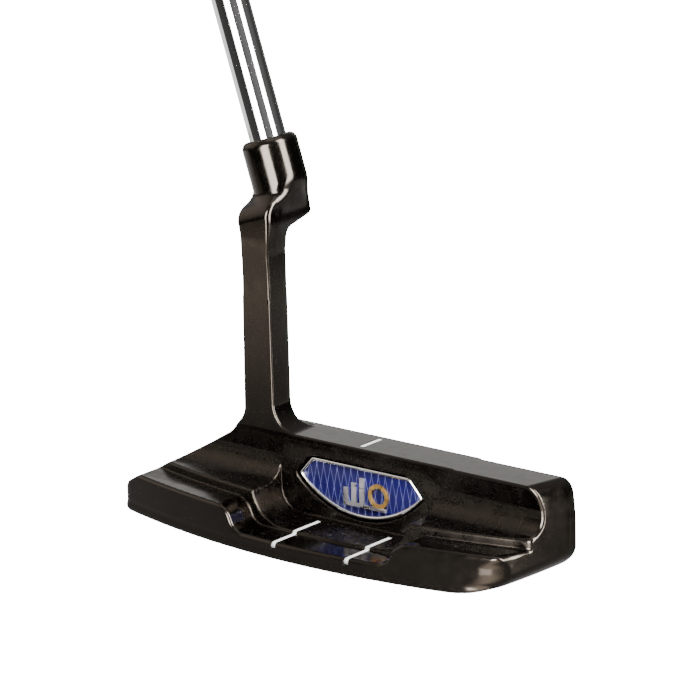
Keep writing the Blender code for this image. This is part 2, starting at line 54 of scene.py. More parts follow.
RING_POINTS = 96                                 # corners in each circle round the shaft


def cad_box(node):
    """The low and high corners of a CAD node, in millimetres in the frame."""
    return [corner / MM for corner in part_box(node)]


INSERT_LOW, INSERT_HIGH = cad_box("face_insert")
BADGE_LOW, BADGE_HIGH = cad_box("badge_bezel")
FACE_Y = INSERT_HIGH.y                           # the striking face in the frame

# Blade
TOPLINE_Z = cad_box("topline_sight_line")[1].z
TOPLINE_BACK = -11.9
BAND_SLOPE = 0.24
LEDGE_Z = 13.2
BUMPER_Z = 10.75
INNER_FLOOR_Z = 5.3
OUTER_FLOOR_Z = 4.6
REAR = -31.7
LIP = -23.2
BOW_CENTRE = -5.5
BOW = 0.0024
CAVITY_X = -1.1
CAVITY_HALF = 24.7
SCOOP_RADIUS = 5.4
RAMP_X, RAMP_Z, RAMP_SLOPE = 25.3, 7.6, 0.47     # the flange's ends, where they climb to the bumpers
PANEL_Y, PANEL_TOP, PANEL_LEAN = -11.0, 21.9, 0.05
PANEL_CORNER_Z, PANEL_CORNER_SLOPE = 9.9, 0.75
TOE_X = 59.5
TOE_STRETCH = 1.45                               # the toe's lower corner is longer than it is tall
HEEL_X = -70.3
SHOULDER_X = -36.6
SHOULDER_SLOPE = 0.588

# Neck and hosel
LIE = math.radians(71.8)
AXIS = Vector((-math.cos(LIE), 0.0, math.sin(LIE)))
AXIS_X, AXIS_Y, AXIS_Z = -33.8, -1.7, 96.1       # a point on the shaft's axis
HOSEL_RADIUS = 7.15
HOSEL_TOP = 3.4
RIM_RADIUS = 2.2
BORE_RADIUS = 5.6
BORE_BOTTOM = -7.5
NECK_LEFT, NECK_RIGHT = -36.45, -26.6
NECK_REAR, NECK_FRONT = -11.9, -4.55
NECK_TAPER, NECK_TAPER_LENGTH = 0.45, 50.0
ELBOW_Z, ELBOW_TOP, ELBOW_SLOPE = 77.2, 87.3, 0.25
SHELF_Z, SHELF_SLOPE, SHELF_LEAN = 81.8, 0.42, 0.35
FLARE_Z = 81.0                                   # where the neck's toe side starts to lean out

# Badge and insert
BADGE_TOP_HALF = 15.7
BADGE_SHOULDER_Z = 16.0
BADGE_POCKET_Y = -8.4
INSERT_POCKET_Y = -4.6
LINE_HALF = 0.58
LINE_DEPTH = 0.35
FLANGE_LINE_X = 11.4


# ---- distance fields -----------------------------------------------------------------------------

def both(a, b, radius):
    """Where two shapes meet, with their outer edge rounded."""
    corner = np.hypot(np.maximum(radius + a, 0.0), np.maximum(radius + b, 0.0))
    return np.minimum(-radius, np.maximum(a, b)) + corner


def either(a, b, radius):
    """Two shapes joined, with a fillet in the corner between them."""
    return -both(-a, -b, radius)


def merged(a, b, reach):
    """Where two shapes meet at a shallow angle, blended over a reach."""
    overlap = np.maximum(reach - np.abs(a - b), 0.0)
    return np.maximum(a, b) + overlap**2 / (4.0 * reach)


def ease(t):
    """A smooth step: 0 up to t = 0, and 1 from t = 1."""
    t = np.clip(t, 0.0, 1.0)
    return t * t * (3.0 - 2.0 * t)


def tilted(along, up, run, rise):
    """Distance above a plane that climbs by rise over run."""
    angle = math.atan2(rise, run)
    return math.cos(angle) * up - math.sin(angle) * along


def axis_coordinates(x, y, z):
    """Distance from the shaft's axis, and height along it from the axis point."""
    dx, dy, dz = x - AXIS_X, y - AXIS_Y, z - AXIS_Z
    across = dx * AXIS.z - dz * AXIS.x
    return np.hypot(across, dy), dx * AXIS.x + dz * AXIS.z


def neck_taper(z):
    """How much each side of the neck has drawn in at a height above the topline."""
    return NECK_TAPER * np.clip((z - TOPLINE_Z) / NECK_TAPER_LENGTH, 0.0, 1.0)


def neck_toe_side(z):
    """The neck's toe side. It flares at the elbow, and leans out again to meet the hosel."""
    flare = 0.95 * ease((z - 71.0) / 9.0)
    return NECK_RIGHT - neck_taper(z) + flare + 0.028 * np.maximum(z - FLARE_Z, 0.0) ** 2


def neck_heel_side(z):
    """The neck's heel side. It widens at the elbow and leans towards the hosel."""
    flare = 0.9 * ease((z - 73.0) / 9.0)
    return NECK_LEFT + neck_taper(z) - flare - 0.15 * np.maximum(z - 76.0, 0.0)


def crown(y):
    """The neck's toe side bulges slightly along its middle."""
    return 0.012 * np.clip(y - 0.5 * (NECK_REAR + NECK_FRONT), -4.0, 4.0) ** 2


def neck_sides(x, y, z):
    """How far a point is outside the neck's heel side and its slightly crowned toe side."""
    return np.maximum(neck_heel_side(z) - x, x + crown(y) - neck_toe_side(z))


def neck_back(y, z):
    """How far a point is behind the neck's rear."""
    return NECK_REAR - 0.5 * ease((z - 64.0) / 12.0) - y


def tower(x, y, z):
    """The neck's upper part, the elbow that carries it forward, and the hosel."""
    radial, height = axis_coordinates(x, y, z)
    barrel = both(radial - HOSEL_RADIUS, height - HOSEL_TOP, RIM_RADIUS)
    shelf = tilted(y - NECK_REAR, z - SHELF_Z - SHELF_LEAN * (x - NECK_LEFT), 1.0, SHELF_SLOPE)
    edge = 0.8 + 0.7 * ease((z - 74.0) / 6.0) + 0.6 * ease((z - 80.0) / 5.0)
    block = both(both(shelf, neck_back(y, z), 3.0), y - 1.5, 3.0)
    block = both(block, z - ELBOW_TOP, 3.0)
    block = both(block, neck_heel_side(z) - x, edge)
    toe_wall = x - neck_toe_side(z) + crown(y)
    block = both(block, toe_wall - 0.3, edge)
    joined = either(block, barrel, 2.0)
    toe_wall = toe_wall - 0.014 * np.maximum(z - FLARE_Z, 0.0) ** 2
    high = ease((z - FLARE_Z) / 6.0)
    whole = (1.0 - high) * both(joined, toe_wall, edge) + high * merged(joined, toe_wall, 4.0)
    under = -tilted(y - NECK_FRONT, z - ELBOW_Z, 1.0, ELBOW_SLOPE)
    return both(whole, either(y - NECK_FRONT, under, 1.5), 0.8)


def top_cut(x, y, z):
    """What the topline, the heel shoulder and the neck's foot leave standing."""
    shoulder = (z - TOPLINE_Z + SHOULDER_SLOPE * (SHOULDER_X - x)) / math.hypot(1.0, SHOULDER_SLOPE)
    cut = both(z - TOPLINE_Z, shoulder, 1.0)
    radius = np.where(x > 0.5 * (NECK_LEFT + NECK_RIGHT), 7.0, 6.3)
    foot_top, front_fillet = z - 60.0, 2.5
    foot = either(cut, np.maximum(neck_sides(x, y, z), foot_top), radius)
    q = np.clip(1.0 - (z - TOPLINE_Z) / front_fillet, 0.0, 1.0)
    swell = np.where(z >= TOPLINE_Z, 1.0 - np.sqrt(1.0 - q * q), 1.0)
    foot = np.maximum(both(foot, y - NECK_FRONT - front_fillet * swell, 0.6), foot_top)
    upper = np.maximum(tower(x, y, z), 50.0 - z)
    return np.minimum(cut, np.minimum(foot, upper))


def blade_back(x, y, z):
    """The stepped rear of the blade: band, scoop, ledge, cavity and flange. Also gives the ledge's lip."""
    bow = BOW * (x - BOW_CENTRE) ** 2
    lip, rear = LIP + bow, REAR + bow
    across = np.abs(x - CAVITY_X)
    band = TOPLINE_BACK + BAND_SLOPE * (TOPLINE_Z - np.clip(z, 20.0, TOPLINE_Z)) - y
    ledge = both(z - LEDGE_Z, lip - y, 0.7)
    scooped = either(band, ledge, SCOOP_RADIUS)
    wall_foot = 6.0 + 4.0 * np.clip((-11.0 - y) / 12.0, 0.0, 1.0)
    cavity = either(CAVITY_HALF - across, z - INNER_FLOOR_Z, wall_foot)
    scooped = both(scooped, cavity, np.where(x > 0.0, 0.15, 0.45))
    body = np.minimum(band, scooped)
    ramp = (RAMP_X + RAMP_SLOPE * (z - RAMP_Z) - across) / math.hypot(1.0, RAMP_SLOPE)
    flange = either(both(z - BUMPER_Z, ramp, 2.8), z - OUTER_FLOOR_Z, 2.4)
    body = either(body, both(flange, rear - y, 1.0), 0.35)
    return either(body, panel(across, y, z), 0.9), lip


def panel(across, y, z):
    """The raised panel that holds the badge, with cut lower corners."""
    half = CAVITY_HALF - 1.9
    corner = across - half + PANEL_CORNER_SLOPE * (PANEL_CORNER_Z - z)
    corner = corner / math.hypot(1.0, PANEL_CORNER_SLOPE)
    outline = both(both(across - half, z - PANEL_TOP, 3.0), corner, 2.5)
    front = PANEL_Y - PANEL_LEAN * (z - 14.0) - y
    sloped_side = 0.93 * front + 0.37 * outline
    return both(front, sloped_side, 1.5)


def blade_ends(x, y, z):
    """Toe and heel ends, with the toe's large radius into the sole."""
    bulge = 0.010 * np.maximum(z - 14.5, 0.0) ** 2
    toe = 0.97 * (x - (TOE_X + 0.2 * y - 0.003 * y * y - bulge))
    toe = np.where(x > 30.0, both(toe, z - TOPLINE_Z, 3.2), toe)
    heel = HEEL_X + 0.003 * (y + 13.0) ** 2 - x
    sole_radius = np.maximum(13.4 + 0.24 * y, 8.8)
    far = ease((x - 15.0) / 20.0)
    corner = both(toe / TOE_STRETCH, -z * TOE_STRETCH, sole_radius)
    return both((1.0 - far) * np.maximum(toe, -z) + far * corner, heel, 3.5)


def head_body(x, y, z):
    """The casting before its pockets, bore and grooves are cut."""
    body, lip = blade_back(x, y, z)
    body = np.where(z > TOPLINE_Z, np.minimum(body, neck_back(y, z)), body)
    body = both(body, y, 0.7)
    body = both(body, top_cut(x, y, z), 0.5)
    below_top = 0.15 + 0.85 * ease((BUMPER_Z - 0.3 - z) / 3.0)
    edge = 0.7 + 2.9 * ease((lip - 1.2 - y) / 5.0) * ease((z - 0.5) / 2.5) * below_top
    body = both(body, blade_ends(x, y, z), edge)
    return np.minimum(body, np.maximum(tower(x, y, z), 40.0 - z))


def badge_shape(x, z, grow):
    """The badge's outline: a flat top, two slanted shoulders and a round foot."""
    top = BADGE_HIGH.z - z
    side, foot = BADGE_HIGH.x, BADGE_LOW.z
    sagitta = BADGE_SHOULDER_Z - foot
    radius = (side**2 + sagitta**2) / (2.0 * sagitta)
    bottom = np.hypot(x, z - foot - radius) - radius
    run, rise = side - BADGE_TOP_HALF, BADGE_HIGH.z - BADGE_SHOULDER_Z
    shoulder = (rise * (np.abs(x) - side) + run * (z - BADGE_SHOULDER_Z)) / math.hypot(run, rise)
    return both(both(-top, shoulder, 0.8), bottom, 0.8) - grow


def insert_shape(x, z, grow):
    """The face insert's outline: a long rectangle with round corners."""
    centre_z = 0.5 * (INSERT_LOW.z + INSERT_HIGH.z)
    half_x, half_z = INSERT_HIGH.x + grow, INSERT_HIGH.z - centre_z + grow
    return both(np.abs(x) - half_x, np.abs(z - centre_z) - half_z, 4.0 + grow)


def topline_reach(x, y, z):
    """Outside the stretch that the topline's sight line covers."""
    return np.maximum(np.abs(y + 5.9) - 3.8, TOPLINE_Z - 2.0 - z)


def flange_reach(x, y, z):
    """Outside the stretch that a flange sight line covers: from the cavity over the rear edge."""
    return np.maximum(both(y + 13.25, z - 7.0, 0.3), 3.1 - z)


def line_shape(x, centre, reach, depth):
    """A painted line's groove in the head: both its side walls and its depth below the surface."""
    return np.maximum(np.maximum(np.abs(x - centre) - LINE_HALF, reach), -depth)


def head_distance(x, y, z):
    """The finished casting: the body less the badge and insert pockets, the bore and the grooves."""
    body = head_body(x, y, z)
    buried = body + LINE_DEPTH
    grooves = line_shape(x, 0.0, topline_reach(x, y, z), buried)
    for centre in (-FLANGE_LINE_X, FLANGE_LINE_X):
        grooves = np.minimum(grooves, line_shape(x, centre, flange_reach(x, y, z), buried))
    badge_pocket = both(badge_shape(x, z, 0.55), y - BADGE_POCKET_Y, 0.2)
    insert_pocket = np.maximum(insert_shape(x, z, 0.15), INSERT_POCKET_Y - y)
    radial, height = axis_coordinates(x, y, z)
    bore = np.maximum(radial - BORE_RADIUS, BORE_BOTTOM - height)
    head = both(body, -badge_pocket, 0.25)
    head = both(head, -insert_pocket, 0.12)
    head = both(head, -bore, 0.35)
    return both(head, -grooves, 0.08)


# ---- from a distance field to a mesh -------------------------------------------------------------

def grid_lines(low, high, spacing, bands):
    """Grid positions, spacing apart, and closer together inside each (start, end, spacing) band."""
    lines = [low]
    while lines[-1] < high:
        here = lines[-1]
        step = min([s for a, b, s in bands if a <= here + 1e-6 < b] + [spacing])
        starts = [a for a, b, s in bands if here + 1e-6 < a < here + step]
        lines.append(min(starts + [here + step]))
    return np.array(lines)


def sampled(distance, lines, blocks):
    """The distance on the grid. Only the blocks are worked out, and the rest counts as outside."""
    values = np.full([len(line) for line in lines], 1.0)
    for low, high in blocks:
        part = tuple(slice(*np.searchsorted(line, (a, b))) for line, a, b in zip(lines, low, high))
        places = np.meshgrid(*(line[cut] for line, cut in zip(lines, part)), indexing="ij")
        values[part] = distance(*places)
    return values


def gradient(distance, points, reach=0.02):
    """The distance's slope at each point."""
    slopes = []
    for axis in range(3):
        offset = np.zeros(3)
        offset[axis] = reach
        ahead, behind = distance(*(points + offset).T), distance(*(points - offset).T)
        slopes.append((ahead - behind) / (2.0 * reach))
    return np.stack(slopes, axis=-1)


def crossings(values, lines, axis):
    """Where grid edges along an axis cross the surface: their index, the point, and which way."""
    near = np.moveaxis(values, axis, 0)[:-1]
    far = np.moveaxis(values, axis, 0)[1:]
    found = np.argwhere((near < 0.0) != (far < 0.0))
    start, end = near[tuple(found.T)], far[tuple(found.T)]
    index = np.insert(found[:, 1:], axis, found[:, 0], axis=1)
    point = np.stack([lines[k][index[:, k]] for k in range(3)], axis=-1)
    step = lines[axis][index[:, axis] + 1] - lines[axis][index[:, axis]]
    point[:, axis] += step * start / (start - end)
    return index, point, start < 0.0


def surface_mesh(distance, lines, blocks):
    """One corner in each grid cell that the surface crosses, and one quad for each crossed edge."""
    values = sampled(distance, lines, blocks)
    cells = tuple(size - 1 for size in values.shape)
    total = np.zeros((*cells, 3))
    count = np.zeros(cells)
    quads = []
    for axis in range(3):
        index, point, leaving = crossings(values, lines, axis)
        first, second = [k for k in range(3) if k != axis]
        corners = []
        for back in ((0, 0), (-1, 0), (-1, -1), (0, -1)):
            cell = index.copy()
            cell[:, first] += back[0]
            cell[:, second] += back[1]
            np.add.at(total, tuple(cell.T), point)
            np.add.at(count, tuple(cell.T), 1.0)
            corners.append(np.ravel_multi_index(cell.T, cells))
        quad = np.stack(corners, axis=-1)
        turned = ~leaving if axis != 1 else leaving
        quad[turned] = quad[turned][:, ::-1]
        quads.append(quad)
    used, faces = np.unique(np.concatenate(quads), return_inverse=True)
    points = (total.reshape(-1, 3) / np.maximum(count.reshape(-1, 1), 1.0))[used]
    return settled(distance, points), faces.reshape(-1, 4)


def settled(distance, points, rounds=3):
    """Moves the points straight onto the surface, and gives the surface's normal at each."""
    for _ in range(rounds):
        slope = gradient(distance, points)
        steepness = np.maximum((slope**2).sum(axis=1, keepdims=True), 0.1)
        move = distance(*points.T)[:, None] * slope / steepness
        length = np.linalg.norm(move, axis=1, keepdims=True)
        points = points - move * np.minimum(1.0, 0.4 / np.maximum(length, 1e-9))
    slope = gradient(distance, points)
    return points, slope / np.maximum(np.linalg.norm(slope, axis=1, keepdims=True), 1e-9)


# ---- mesh helpers --------------------------------------------------------------------------------

def place(name, mesh, look):
    """Puts a mesh into the scene with its material."""
    mesh.materials.append(look)
    made = bpy.data.objects.new(name, mesh)
    bpy.context.scene.collection.objects.link(made)
    return made


def to_frame(points):
    """Millimetres from the striking face to metres in the frame."""
    return (np.asarray(points, float) + (0.0, FACE_Y, 0.0)) * MM


def field_piece(name, distance, lines, blocks, look):
    """A piece whose mesh and normals come from a distance field."""
    (points, normals), faces = surface_mesh(distance, lines, blocks)
    mesh = bpy.data.meshes.new(name)
    mesh.from_pydata(to_frame(points).tolist(), [], faces.tolist())
    mesh.shade_smooth()
    mesh.normals_split_custom_set_from_vertices(normals.tolist())
    return place(name, mesh, look)


def solid_piece(name, bm, look, sharp_angle=35.0):
    """A piece from a bmesh, smooth except where its faces turn by more than the sharp angle."""
    bmesh.ops.recalc_face_normals(bm, faces=bm.faces)
    mesh = bpy.data.meshes.new(name)
    bm.to_mesh(mesh)
    bm.free()
    mesh.shade_smooth()
    mesh.set_sharp_from_angle(angle=math.radians(sharp_angle))
    return place(name, mesh, look)


def loft(loops, close=False):
    """Skins loops of equal length. It is capped at both ends, or joined end to end."""
    bm = bmesh.new()
    rings = [[bm.verts.new(point) for point in loop] for loop in loops]
    pairs = list(zip(rings, rings[1:]))
    if close:
        pairs.append((rings[-1], rings[0]))
    for lower, upper in pairs:
        for i in range(len(lower)):
            j = (i + 1) % len(lower)
            bm.faces.new((lower[i], lower[j], upper[j], upper[i]))
    if not close:
        bm.faces.new(rings[0])
        bm.faces.new(reversed(rings[-1]))
    return bm


def on_axis(radius, height, turn):
    """A point round the shaft's axis. Turn 0 faces the toe."""
    side = Vector((AXIS.z, 0.0, -AXIS.x))
    across = AXIS.cross(side)
    centre = Vector((AXIS_X, AXIS_Y + FACE_Y, AXIS_Z)) + AXIS * height
    return (centre + side * (radius * math.cos(turn)) + across * (radius * math.sin(turn))) * MM


def ring(radius, height):
    """A circle round the shaft's axis."""
    return [on_axis(radius, height, 2.0 * math.pi * k / RING_POINTS) for k in range(RING_POINTS)]


def turned_piece(name, profile, look):
    """A closed (radius, height) profile turned round the shaft's axis."""
    return solid_piece(name, loft([ring(*point) for point in profile], close=True), look)


def arc(centre, radius, start, end, count):
    """Points on an arc in a plane, between two angles in degrees."""
    angles = [math.radians(start + (end - start) * k / (count - 1)) for k in range(count)]
    return [(centre[0] + radius * math.cos(a), centre[1] + radius * math.sin(a)) for a in angles]


# ---- materials -----------------------------------------------------------------------------------

class Look:
    """A Principled material with a few helpers for procedural detail."""

    def __init__(self, name, colour, roughness, metallic=0.0, **more):
        self.material = bpy.data.materials.new(name)
        self.material.use_nodes = True
        self.tree = self.material.node_tree
        self.shader = self.tree.nodes["Principled BSDF"]
        self.set("Base Color", (*colour, 1.0))
        self.set("Roughness", roughness)
        self.set("Metallic", metallic)
        for socket, value in more.items():
            self.set(socket.replace("_", " "), value)

    def set(self, socket, value):
        self.shader.inputs[socket].default_value = value

    def node(self, kind, **settings):
        made = self.tree.nodes.new(kind)
        for name, value in settings.items():
            setattr(made, name, value)
        return made

    def link(self, output, target):
        self.tree.links.new(output, target)

    def position(self, stretch=(1.0, 1.0, 1.0)):
        """The object's own coordinates in metres, stretched."""
        coordinates = self.node("ShaderNodeTexCoord")
        mapping = self.node("ShaderNodeMapping")
        mapping.inputs["Scale"].default_value = stretch
        self.link(coordinates.outputs["Object"], mapping.inputs["Vector"])
        return mapping.outputs["Vector"]

    def noise(self, scale, detail=3.0, stretch=(1.0, 1.0, 1.0)):
        made = self.node("ShaderNodeTexNoise")
        made.inputs["Scale"].default_value = scale
        made.inputs["Detail"].default_value = detail
        self.link(self.position(stretch), made.inputs["Vector"])
        return made.outputs["Fac"]

    def between(self, value, low, high, low_at=0.35, high_at=0.65):
        """A number that runs from low to high as value runs from low_at to high_at."""
        made = self.node("ShaderNodeMapRange")
        made.inputs["From Min"].default_value = low_at
        made.inputs["From Max"].default_value = high_at
        made.inputs["To Min"].default_value = low
        made.inputs["To Max"].default_value = high
        self.link(value, made.inputs["Value"])
        return made.outputs["Result"]

    def blend(self, value, low, high):
        """A colour that runs from low to high with value. Low and high are colours or outputs."""
        made = self.node("ShaderNodeMix", data_type="RGBA")
        for socket, colour in ((made.inputs[6], low), (made.inputs[7], high)):
            if isinstance(colour, tuple):
                socket.default_value = (*colour, 1.0)
            else:
                self.link(colour, socket)
        self.link(value, made.inputs[0])
        return made.outputs[2]

    def maths(self, operation, a, b):
        made = self.node("ShaderNodeMath", operation=operation)
        self.link(a, made.inputs[0])
        self.link(b, made.inputs[1])
        return made.outputs[0]

    def inside(self, sides):
        """1 inside a box and 0 outside. Each side gives its axis, and where it reads 0 and 1."""
        parts = self.node("ShaderNodeSeparateXYZ")
        self.link(self.position(), parts.inputs[0])
        mask = None
        for axis, zero_at, one_at in sides:
            levels = (0.0, 1.0) if one_at > zero_at else (1.0, 0.0)
            level = self.between(parts.outputs[axis], *levels, min(zero_at, one_at), max(zero_at, one_at))
            mask = level if mask is None else self.maths("MULTIPLY", mask, level)
        return mask

    def bump(self, height, distance, strength=1.0):
        made = self.node("ShaderNodeBump")
        made.inputs["Strength"].default_value = strength
        made.inputs["Distance"].default_value = distance
        self.link(height, made.inputs["Height"])
        self.link(made.outputs["Normal"], self.shader.inputs["Normal"])

    def drive(self, socket, output):
        self.link(output, self.shader.inputs[socket])


BLASTED_BOX = (          # metres in the frame: the rear of the blade, from the sole to the topline
    ("X", -0.069, -0.067), ("X", 0.0535, 0.0505), ("Y", -0.0085, -0.0075),
    ("Y", 0.0055, 0.0045), ("Z", 0.002, 0.003), ("Z", 0.0256, 0.0246),
)


def black_nickel():
    """Dark, glossy plating with faint brown clouds, and a duller, blasted finish behind the blade."""
    look = Look("black_nickel", (0.040, 0.035, 0.030), 0.13, 1.0)
    blasted = look.inside(BLASTED_BOX)
    cloud = look.noise(60.0, 4.0)
    glossy_colour = look.blend(cloud, (0.036, 0.032, 0.029), (0.050, 0.043, 0.036))
    blasted_colour = look.blend(look.noise(500.0), (0.030, 0.026, 0.022), (0.043, 0.037, 0.031))
    look.drive("Base Color", look.blend(blasted, glossy_colour, blasted_colour))
    gloss = look.between(look.noise(350.0, 3.0), 0.11, 0.18)
    extra = look.maths("MULTIPLY", blasted, look.between(cloud, 0.12, 0.16))
    look.drive("Roughness", look.maths("ADD", gloss, extra))
    look.bump(look.noise(2200.0, 3.0), 0.0000025)
    return look.material


def chrome(name):
    look = Look(name, (0.86, 0.87, 0.89), 0.05, 1.0)
    streaks = look.noise(900.0, 3.0, (1.0, 1.0, 0.04))
    look.drive("Roughness", look.between(streaks, 0.035, 0.075))
    look.bump(look.noise(260.0, 2.0), 0.000004)
    return look.material


def blue_enamel():
    look = Look("blue_enamel", (0.004, 0.003, 0.15), 0.3, 0.2, Coat_Weight=0.2, Coat_Roughness=0.08)
    depth = look.noise(700.0, 3.0)
    look.drive("Base Color", look.blend(depth, (0.002, 0.001, 0.085), (0.004, 0.002, 0.135)))
    look.bump(look.noise(2500.0, 2.0), 0.000004)
    return look.material


def lattice_silver():
    look = Look("lattice_silver", (0.16, 0.19, 0.48), 0.45, 0.3)
    look.drive("Base Color", look.blend(look.noise(400.0), (0.20, 0.22, 0.52), (0.44, 0.48, 0.85)))
    look.bump(look.noise(3000.0, 2.0), 0.000004)
    return look.material


def satin_metal(name, dark, light):
    look = Look(name, light, 0.3, 1.0)
    look.drive("Base Color", look.blend(look.noise(300.0, 3.0), dark, light))
    look.drive("Roughness", look.between(look.noise(500.0, 2.0), 0.26, 0.34))
    look.bump(look.noise(1200.0, 2.0), 0.0000006)
    return look.material


def white_paint():
    look = Look("white_paint", (0.86, 0.86, 0.85), 0.42)
    look.drive("Base Color", look.blend(look.noise(500.0), (0.80, 0.80, 0.79), (0.90, 0.90, 0.89)))
    look.bump(look.noise(1800.0, 3.0), 0.00002)
    return look.material


def polymer():
    look = Look("insert_polymer", (0.02, 0.02, 0.022), 0.5)
    look.drive("Base Color", look.blend(look.noise(400.0), (0.016, 0.016, 0.018), (0.028, 0.028, 0.030)))
    look.drive("Roughness", look.between(look.noise(900.0), 0.42, 0.60))
    look.bump(look.noise(3000.0, 3.0), 0.00002)
    return look.material


def rubber(name, pebble):
    """Dark rubber with a moulded pebble."""
    look = Look(name, (0.022, 0.022, 0.024), 0.7, Specular_IOR_Level=0.35)
    look.drive("Base Color", look.blend(look.noise(120.0), (0.016, 0.016, 0.018), (0.034, 0.033, 0.034)))
    look.drive("Roughness", look.between(look.noise(600.0), 0.58, 0.82))
    cells = look.node("ShaderNodeTexVoronoi")
    cells.inputs["Scale"].default_value = pebble
    look.link(look.position(), cells.inputs["Vector"])
    look.bump(cells.outputs["Distance"], 0.00015, 0.6)
    return look.material


def glue(name, colour, roughness):
    look = Look(name, colour, roughness)
    darker = tuple(0.8 * channel for channel in colour)
    look.drive("Base Color", look.blend(look.noise(700.0), darker, colour))
    look.bump(look.noise(1500.0, 3.0), 0.00005)
    return look.material


# ---- head ----------------------------------------------------------------------------------------

def head_grid():
    """The head's grid. It is finer at edges, grooves and the thin neck."""
    along = grid_lines(-71.2, 60.6, 0.8, (
        (-71.2, -64.0, 0.4), (-43.0, -16.0, 0.45), (-16.0, 16.0, 0.55), (16.0, 27.5, 0.45),
        (-12.4, -10.4, 0.22), (-1.0, 1.0, 0.22), (10.4, 12.4, 0.22), (50.0, 60.6, 0.4),
    ))
    depth = grid_lines(-32.6, 6.8, 0.5, (
        (-32.6, -30.4, 0.25), (-24.0, -12.4, 0.42), (-12.4, -10.6, 0.22), (-1.0, 0.6, 0.22),
        (0.6, 6.8, 0.45),
    ))
    height = grid_lines(-0.7, 102.5, 0.8, (
        (-0.7, 3.6, 0.45), (3.6, 6.0, 0.25), (6.0, 31.0, 0.42), (25.2, 26.6, 0.22), (72.0, 102.5, 0.42),
    ))
    return along, depth, height


def make_head():
    blade = ((-72.0, -33.0, -1.0), (61.0, 2.0, 29.0))
    upright = ((-47.0, -15.0, 29.0), (-19.0, 7.0, 103.0))
    head = field_piece("head", head_distance, head_grid(), (blade, upright), black_nickel())
    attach(head, "root")
    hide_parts("head_casting")


def make_line(name, centre, reach, box, look):
    """A sight line's paint: it fills its groove to just under the metal around it."""
    def paint(x, y, z):
        body = head_body(x, y, z)
        fill = both(body + 0.08, -(body + LINE_DEPTH + 0.05), 0.05)
        sides = np.maximum(np.abs(x - centre) - LINE_HALF + 0.01, reach(x, y, z))
        return both(fill, sides, 0.04)

    low, high = box
    spacings = (0.13, 0.22, 0.13)
    lines = [grid_lines(a, b, step, ()) for a, b, step in zip(low, high, spacings)]
    line = field_piece(name, paint, lines, (box,), look)
    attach(line, "root")
    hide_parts(name.replace("_paint", ""))


def make_lines():
    look = white_paint()
    top = ((-0.9, -10.1, TOPLINE_Z - 0.9), (0.9, -1.7, TOPLINE_Z + 0.3))
    make_line("topline_sight_line_paint", 0.0, topline_reach, top, look)
    for side, centre in (("heel", -FLANGE_LINE_X), ("toe", FLANGE_LINE_X)):
        box = ((centre - 0.9, -32.1, 2.7), (centre + 0.9, -12.8, 7.2))
        make_line(f"flange_sight_line_{side}_paint", centre, flange_reach, box, look)


def make_insert():
    """The face insert, with fine grooves milled across its front."""
    pitch, depth = 1.5, 0.10

    def insert(x, y, z):
        phase = np.abs((z / pitch) % 1.0 - 0.5) * pitch
        front = y + depth * ease((0.35 - phase) / 0.2)
        slab = np.maximum(front, INSERT_LOW.y - FACE_Y - y)
        return both(slab, insert_shape(x, z, 0.0), 0.3)

    left, right = INSERT_LOW.x - 0.5, INSERT_HIGH.x + 0.5
    ends = ((left, INSERT_LOW.x + 5.0, 0.35), (INSERT_HIGH.x - 5.0, right, 0.35))
    lines = (
        grid_lines(left, right, 1.2, ends),
        grid_lines(INSERT_LOW.y - FACE_Y - 0.4, 0.5, 0.6, ((-0.6, 0.5, 0.1),)),
        grid_lines(INSERT_LOW.z - 0.4, INSERT_HIGH.z + 0.4, 0.15, ()),
    )
    box = tuple(zip(*((line[0], line[-1] + 1.0) for line in lines)))
    piece = field_piece("insert_face", insert, lines, (box,), polymer())
    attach(piece, "root")
    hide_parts("face_insert")


# ---- badge ---------------------------------------------------------------------------------------

def badge_outline(inset, count=49):
    """The badge's outline in X and Z, moved in by inset."""
    top = BADGE_HIGH.z - inset
    side = BADGE_HIGH.x - 1.15 * inset
    corner = BADGE_TOP_HALF - 0.6 * inset
    foot = BADGE_LOW.z + inset
    sagitta = BADGE_SHOULDER_Z - foot
    radius = (side**2 + sagitta**2) / (2.0 * sagitta)
    half_angle = math.degrees(math.asin(side / radius))
    points = [(corner, top), (-corner, top)]
    points += arc((0.0, foot + radius), radius, 270.0 - half_angle, 270.0 + half_angle, count)
    return points


def rounded(outline, radius, steps=4):
    """An outline with its sharp corners cut round."""
    points = []
    count = len(outline)
    for i, here in enumerate(outline):
        here = Vector(here)
        before, after = Vector(outline[i - 1]) - here, Vector(outline[(i + 1) % count]) - here
        if before.angle(after) > math.radians(165.0):
            points.append(here)
            continue
        start, end = here + before.normalized() * radius, here + after.normalized() * radius
        for k in range(steps + 1):
            t = k / steps
            points.append(start * (1.0 - t) ** 2 + here * (2.0 * t * (1.0 - t)) + end * t**2)
    return points


def standing(outline, y):
    """An outline in X and Z, stood up at a depth behind the face, in metres."""
    return [Vector((p[0], y + FACE_Y, p[1])) * MM for p in outline]


def make_bezel():
    """A chrome rim with a rounded crown."""
    back, front = BADGE_HIGH.y - FACE_Y, BADGE_LOW.y - FACE_Y
    half = 0.5
    crown = [(half + p, front + half - q) for p, q in arc((0.0, 0.0), half, 180.0, 0.0, 9)]
    profile = [(0.0, back), *crown, (2.0 * half, back)]
    loops = [standing(rounded(badge_outline(inset), 0.7), y) for inset, y in profile]
    bezel = solid_piece("badge_rim", loft(loops, close=True), chrome("bezel_chrome"), 50.0)
    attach(bezel, "root")
    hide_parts("badge_bezel")


